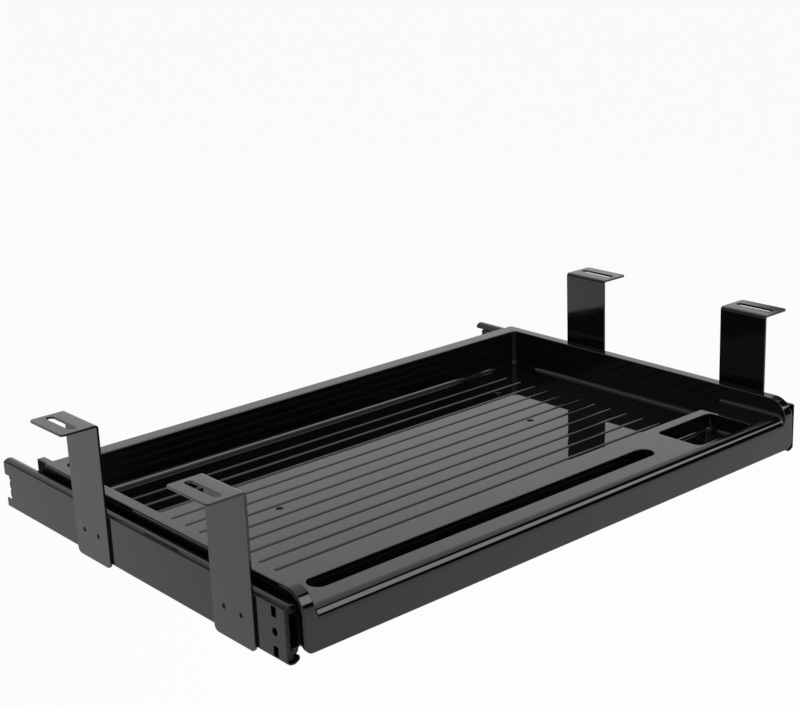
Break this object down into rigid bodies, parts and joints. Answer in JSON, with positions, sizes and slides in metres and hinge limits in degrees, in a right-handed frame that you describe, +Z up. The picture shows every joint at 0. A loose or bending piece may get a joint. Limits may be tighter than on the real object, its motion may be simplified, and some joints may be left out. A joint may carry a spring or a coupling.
{
  "type": "under-desk keyboard tray",
  "caption": "Glossy black keyboard tray with a grooved well, pen trough and cup, hung under a desk by slotted brackets on ball slides so that it pulls out.",
  "frame": {"origin": "on the underside of the desk, midway between the slots of the brackets", "axes": "+X towards the user, the way the tray pulls out; +Y to the user's right, across the tray; +Z up, into the desk"},
  "size_m": [0.4065, 0.634, 0.12],
  "materials": {
    "bracket_steel": "satin black powder coat",
    "rail_steel": "semi-gloss black coating",
    "zinc_steel": "bright zinc plate",
    "cage_steel": "plain bright strip",
    "ball_steel": "polished",
    "buffer_plastic": "matt black",
    "tray_plastic": "high-gloss black",
    "lever_plastic": "matt black"
  },
  "bodies": {
    "hanger": {"bracket_front_left": "bracket_steel", "bracket_front_right": "bracket_steel", "bracket_rear_left": "bracket_steel", "bracket_rear_right": "bracket_steel", "bracket_screws_left": "zinc_steel", "bracket_screws_right": "zinc_steel", "outer_rail_left": "rail_steel", "outer_rail_right": "rail_steel", "rear_bumper_left": "buffer_plastic", "rear_bumper_right": "buffer_plastic"},
    "drawer": {"tray": "tray_plastic", "inner_rail_left": "rail_steel", "inner_rail_right": "rail_steel", "tray_screws_left": "zinc_steel", "tray_screws_right": "zinc_steel", "lever_pin_left": "zinc_steel", "lever_pin_right": "zinc_steel"},
    "outer_bearing_left": {"outer_cage_left": "cage_steel", "outer_balls_left": "ball_steel"},
    "carrier_left": {"middle_rail_left": "rail_steel", "front_buffer_left": "buffer_plastic"},
    "inner_bearing_left": {"inner_cage_left": "cage_steel", "inner_balls_left": "ball_steel"},
    "lever_left": {"release_lever_left": "lever_plastic"},
    "outer_bearing_right": {"outer_cage_right": "cage_steel", "outer_balls_right": "ball_steel"},
    "carrier_right": {"middle_rail_right": "rail_steel", "front_buffer_right": "buffer_plastic"},
    "inner_bearing_right": {"inner_cage_right": "cage_steel", "inner_balls_right": "ball_steel"},
    "lever_right": {"release_lever_right": "lever_plastic"}
  },
  "joints": [
    {"name": "tray_slide", "type": "slide", "parent": "hanger", "child": "drawer", "axis": [1, 0, 0], "range_m": [0, 0.4]},
    {"name": "carrier_slide_left", "type": "slide", "parent": "hanger", "child": "carrier_left", "axis": [1, 0, 0], "range_m": [0, 0.2]},
    {"name": "outer_bearing_slide_left", "type": "slide", "parent": "hanger", "child": "outer_bearing_left", "axis": [1, 0, 0], "range_m": [0, 0.1]},
    {"name": "inner_bearing_slide_left", "type": "slide", "parent": "hanger", "child": "inner_bearing_left", "axis": [1, 0, 0], "range_m": [0, 0.3]},
    {"name": "carrier_slide_right", "type": "slide", "parent": "hanger", "child": "carrier_right", "axis": [1, 0, 0], "range_m": [0, 0.2]},
    {"name": "outer_bearing_slide_right", "type": "slide", "parent": "hanger", "child": "outer_bearing_right", "axis": [1, 0, 0], "range_m": [0, 0.1]},
    {"name": "inner_bearing_slide_right", "type": "slide", "parent": "hanger", "child": "inner_bearing_right", "axis": [1, 0, 0], "range_m": [0, 0.3]},
    {"name": "lever_turn_left", "type": "hinge", "parent": "drawer", "child": "lever_left", "pos_m": [-0.021, -0.2751, -0.0962], "axis": [0, 1, 0], "range_deg": [-12, 0], "stiffness_Nm_per_rad": 0.02},
    {"name": "lever_turn_right", "type": "hinge", "parent": "drawer", "child": "lever_right", "pos_m": [-0.021, 0.2751, -0.0962], "axis": [0, 1, 0], "range_deg": [0, 12], "stiffness_Nm_per_rad": 0.02}
  ],
  "couplings": [
    {"joint": "carrier_slide_left", "follows": "tray_slide", "ratio": 0.5},
    {"joint": "outer_bearing_slide_left", "follows": "tray_slide", "ratio": 0.25},
    {"joint": "inner_bearing_slide_left", "follows": "tray_slide", "ratio": 0.75},
    {"joint": "carrier_slide_right", "follows": "tray_slide", "ratio": 0.5},
    {"joint": "outer_bearing_slide_right", "follows": "tray_slide", "ratio": 0.25},
    {"joint": "inner_bearing_slide_right", "follows": "tray_slide", "ratio": 0.75}
  ]
}
